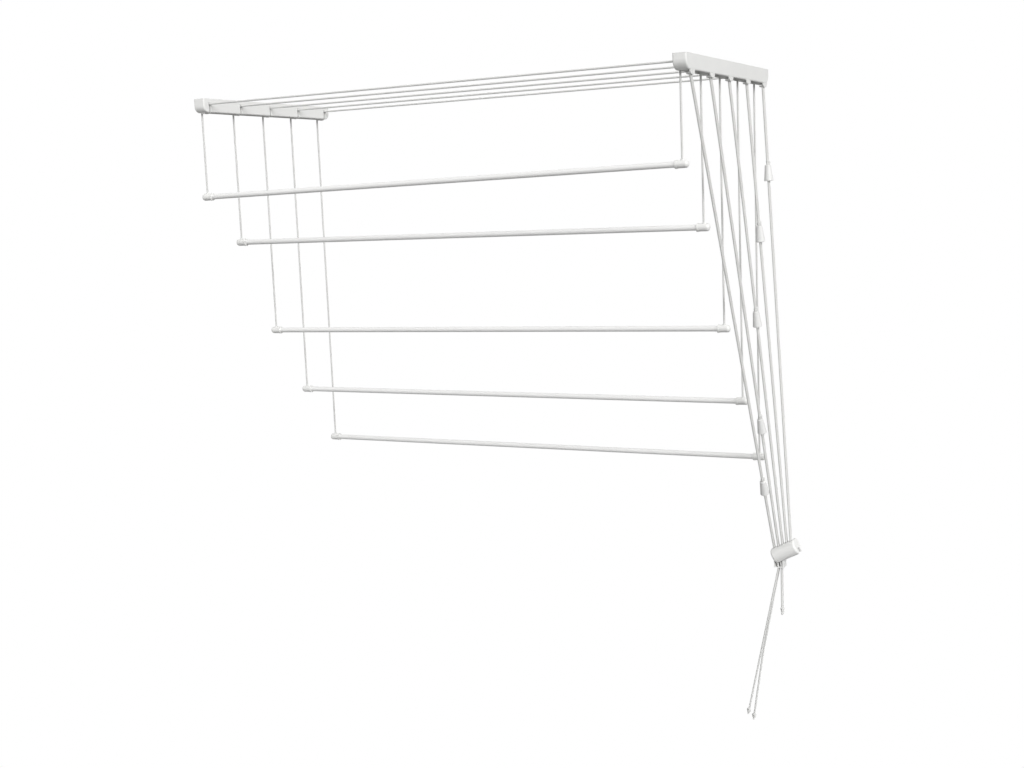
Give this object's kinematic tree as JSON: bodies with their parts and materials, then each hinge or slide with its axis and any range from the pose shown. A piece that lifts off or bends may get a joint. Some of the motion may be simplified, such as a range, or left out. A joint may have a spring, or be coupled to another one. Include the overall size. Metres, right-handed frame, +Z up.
{
  "type": "ceiling clothes airer",
  "caption": "Ceiling clothes airer: drying rods hang on cords from pulley rails, and each is raised or lowered by itself from a wall-mounted cord holder.",
  "frame": {"origin": "middle of the left pulley rail's ceiling face", "axes": "+X along the rods from the left rail to the right rail, +Y along the rails towards the wall that carries the cord holder, +Z up into the ceiling"},
  "size_m": [1.0517, 0.437, 1.2454],
  "materials": {
    "white_plastic": "satin white moulded plastic",
    "roller_plastic": "smooth white moulded plastic",
    "bead_plastic": "glossy white moulded plastic",
    "rod_paint": "white powder coat on thin steel tube",
    "axle_steel": "drawn steel pin",
    "white_cord": "braided white polyester cord"
  },
  "bodies": {
    "fixed_parts": {"left_rail": "white_plastic", "right_rail": "white_plastic", "left_axle_pins": "axle_steel", "right_axle_pins": "axle_steel", "holder_base": "white_plastic", "holder_cover": "white_plastic", "cord_run_1": "white_cord", "cord_run_2": "white_cord", "cord_run_3": "white_cord", "cord_run_4": "white_cord", "cord_run_5": "white_cord", "cord_drops_1": "white_cord", "cord_drops_2": "white_cord", "cord_drops_3": "white_cord", "cord_drops_4": "white_cord", "cord_drops_5": "white_cord", "cord_tail_1": "white_cord", "cord_tail_2": "white_cord", "cord_tail_3": "white_cord", "cord_tail_4": "white_cord", "cord_tail_5": "white_cord"},
    "rod_1": {"rod_tube_1": "rod_paint", "rod_caps_1": "white_plastic", "rod_knots_1": "white_cord"},
    "bead_1": {"stop_bead_1": "bead_plastic"},
    "knot_1": {"tail_knot_1": "white_cord"},
    "left_wheel_1": {"left_roller_1": "roller_plastic"},
    "right_wheel_1": {"right_roller_1": "roller_plastic"},
    "rod_2": {"rod_tube_2": "rod_paint", "rod_caps_2": "white_plastic", "rod_knots_2": "white_cord"},
    "bead_2": {"stop_bead_2": "bead_plastic"},
    "knot_2": {"tail_knot_2": "white_cord"},
    "left_wheel_2": {"left_roller_2": "roller_plastic"},
    "right_wheel_2": {"right_roller_2": "roller_plastic"},
    "rod_3": {"rod_tube_3": "rod_paint", "rod_caps_3": "white_plastic", "rod_knots_3": "white_cord"},
    "bead_3": {"stop_bead_3": "bead_plastic"},
    "knot_3": {"tail_knot_3": "white_cord"},
    "left_wheel_3": {"left_roller_3": "roller_plastic"},
    "right_wheel_3": {"right_roller_3": "roller_plastic"},
    "rod_4": {"rod_tube_4": "rod_paint", "rod_caps_4": "white_plastic", "rod_knots_4": "white_cord"},
    "bead_4": {"stop_bead_4": "bead_plastic"},
    "knot_4": {"tail_knot_4": "white_cord"},
    "left_wheel_4": {"left_roller_4": "roller_plastic"},
    "right_wheel_4": {"right_roller_4": "roller_plastic"},
    "rod_5": {"rod_tube_5": "rod_paint", "rod_caps_5": "white_plastic", "rod_knots_5": "white_cord"},
    "bead_5": {"stop_bead_5": "bead_plastic"},
    "knot_5": {"tail_knot_5": "white_cord"},
    "left_wheel_5": {"left_roller_5": "roller_plastic"},
    "right_wheel_5": {"right_roller_5": "roller_plastic"}
  },
  "joints": [
    {"name": "rod_1_lift", "type": "slide", "parent": "fixed_parts", "child": "rod_1", "axis": [0, 0, 1], "range_m": [-0.285, 0.029], "deforming": ["cord_drops_1"]},
    {"name": "rod_2_lift", "type": "slide", "parent": "fixed_parts", "child": "rod_2", "axis": [0, 0, 1], "range_m": [-0.072, 0.098], "deforming": ["cord_drops_2"]},
    {"name": "rod_3_lift", "type": "slide", "parent": "fixed_parts", "child": "rod_3", "axis": [0, 0, 1], "range_m": [0, 0.344], "deforming": ["cord_drops_3"]},
    {"name": "rod_4_lift", "type": "slide", "parent": "fixed_parts", "child": "rod_4", "axis": [0, 0, 1], "range_m": [0, 0.44], "deforming": ["cord_drops_4"]},
    {"name": "rod_5_lift", "type": "slide", "parent": "fixed_parts", "child": "rod_5", "axis": [0, 0, 1], "range_m": [0, 0.587], "deforming": ["cord_drops_5"]},
    {"name": "bead_1_slide", "type": "slide", "parent": "fixed_parts", "child": "bead_1", "axis": [0.0049, 0.4158, -0.9095], "range_m": [-0.285, 0.029]},
    {"name": "knot_1_slide", "type": "slide", "parent": "fixed_parts", "child": "knot_1", "axis": [-0.2115, 0, -0.9774], "range_m": [-0.285, 0.029], "deforming": ["cord_tail_1"]},
    {"name": "left_roller_1_spin", "type": "hinge", "parent": "fixed_parts", "child": "left_wheel_1", "pos_m": [0, -0.19, -0.018], "axis": [0, 1, 0], "continuous": true},
    {"name": "right_roller_1_spin", "type": "hinge", "parent": "fixed_parts", "child": "right_wheel_1", "pos_m": [0.97, -0.18725, -0.018], "axis": [0, 1, 0], "continuous": true},
    {"name": "bead_2_slide", "type": "slide", "parent": "fixed_parts", "child": "bead_2", "axis": [0.0139, 0.3294, -0.9441], "range_m": [-0.072, 0.098]},
    {"name": "knot_2_slide", "type": "slide", "parent": "fixed_parts", "child": "knot_2", "axis": [0, 0, -1], "range_m": [-0.072, 0.098], "deforming": ["cord_tail_2"]},
    {"name": "left_roller_2_spin", "type": "hinge", "parent": "fixed_parts", "child": "left_wheel_2", "pos_m": [0, -0.095, -0.018], "axis": [0, 1, 0], "continuous": true},
    {"name": "right_roller_2_spin", "type": "hinge", "parent": "fixed_parts", "child": "right_wheel_2", "pos_m": [0.97, -0.09225, -0.018], "axis": [0, 1, 0], "continuous": true},
    {"name": "bead_3_slide", "type": "slide", "parent": "fixed_parts", "child": "bead_3", "axis": [0.0235, 0.233, -0.9722], "range_m": [0, 0.344]},
    {"name": "knot_3_slide", "type": "slide", "parent": "fixed_parts", "child": "knot_3", "axis": [0, 0, -1], "range_m": [0, 0.344], "deforming": ["cord_tail_3"]},
    {"name": "left_roller_3_spin", "type": "hinge", "parent": "fixed_parts", "child": "left_wheel_3", "pos_m": [0, 0, -0.018], "axis": [0, 1, 0], "continuous": true},
    {"name": "right_roller_3_spin", "type": "hinge", "parent": "fixed_parts", "child": "right_wheel_3", "pos_m": [0.97, 0.00275, -0.018], "axis": [0, 1, 0], "continuous": true},
    {"name": "bead_4_slide", "type": "slide", "parent": "fixed_parts", "child": "bead_4", "axis": [0.0334, 0.1282, -0.9912], "range_m": [0, 0.44]},
    {"name": "knot_4_slide", "type": "slide", "parent": "fixed_parts", "child": "knot_4", "axis": [0, 0, -1], "range_m": [0, 0.44], "deforming": ["cord_tail_4"]},
    {"name": "left_roller_4_spin", "type": "hinge", "parent": "fixed_parts", "child": "left_wheel_4", "pos_m": [0, 0.095, -0.018], "axis": [0, 1, 0], "continuous": true},
    {"name": "right_roller_4_spin", "type": "hinge", "parent": "fixed_parts", "child": "right_wheel_4", "pos_m": [0.97, 0.09775, -0.018], "axis": [0, 1, 0], "continuous": true},
    {"name": "bead_5_slide", "type": "slide", "parent": "fixed_parts", "child": "bead_5", "axis": [0.0433, 0.018, -0.9989], "range_m": [0, 0.587]},
    {"name": "knot_5_slide", "type": "slide", "parent": "fixed_parts", "child": "knot_5", "axis": [0, 0, -1], "range_m": [0, 0.587], "deforming": ["cord_tail_5"]},
    {"name": "left_roller_5_spin", "type": "hinge", "parent": "fixed_parts", "child": "left_wheel_5", "pos_m": [0, 0.19, -0.018], "axis": [0, 1, 0], "continuous": true},
    {"name": "right_roller_5_spin", "type": "hinge", "parent": "fixed_parts", "child": "right_wheel_5", "pos_m": [0.97, 0.19275, -0.018], "axis": [0, 1, 0], "continuous": true}
  ],
  "couplings": [
    {"joint": "bead_1_slide", "follows": "rod_1_lift", "ratio": 1},
    {"joint": "knot_1_slide", "follows": "rod_1_lift", "ratio": 1},
    {"joint": "left_roller_1_spin", "follows": "rod_1_lift", "rad_per_m": 125},
    {"joint": "right_roller_1_spin", "follows": "rod_1_lift", "rad_per_m": 125},
    {"joint": "bead_2_slide", "follows": "rod_2_lift", "ratio": 1},
    {"joint": "knot_2_slide", "follows": "rod_2_lift", "ratio": 1},
    {"joint": "left_roller_2_spin", "follows": "rod_2_lift", "rad_per_m": 125},
    {"joint": "right_roller_2_spin", "follows": "rod_2_lift", "rad_per_m": 125},
    {"joint": "bead_3_slide", "follows": "rod_3_lift", "ratio": 1},
    {"joint": "knot_3_slide", "follows": "rod_3_lift", "ratio": 1},
    {"joint": "left_roller_3_spin", "follows": "rod_3_lift", "rad_per_m": 125},
    {"joint": "right_roller_3_spin", "follows": "rod_3_lift", "rad_per_m": 125},
    {"joint": "bead_4_slide", "follows": "rod_4_lift", "ratio": 1},
    {"joint": "knot_4_slide", "follows": "rod_4_lift", "ratio": 1},
    {"joint": "left_roller_4_spin", "follows": "rod_4_lift", "rad_per_m": 125},
    {"joint": "right_roller_4_spin", "follows": "rod_4_lift", "rad_per_m": 125},
    {"joint": "bead_5_slide", "follows": "rod_5_lift", "ratio": 1},
    {"joint": "knot_5_slide", "follows": "rod_5_lift", "ratio": 1},
    {"joint": "left_roller_5_spin", "follows": "rod_5_lift", "rad_per_m": 125},
    {"joint": "right_roller_5_spin", "follows": "rod_5_lift", "rad_per_m": 125}
  ]
}
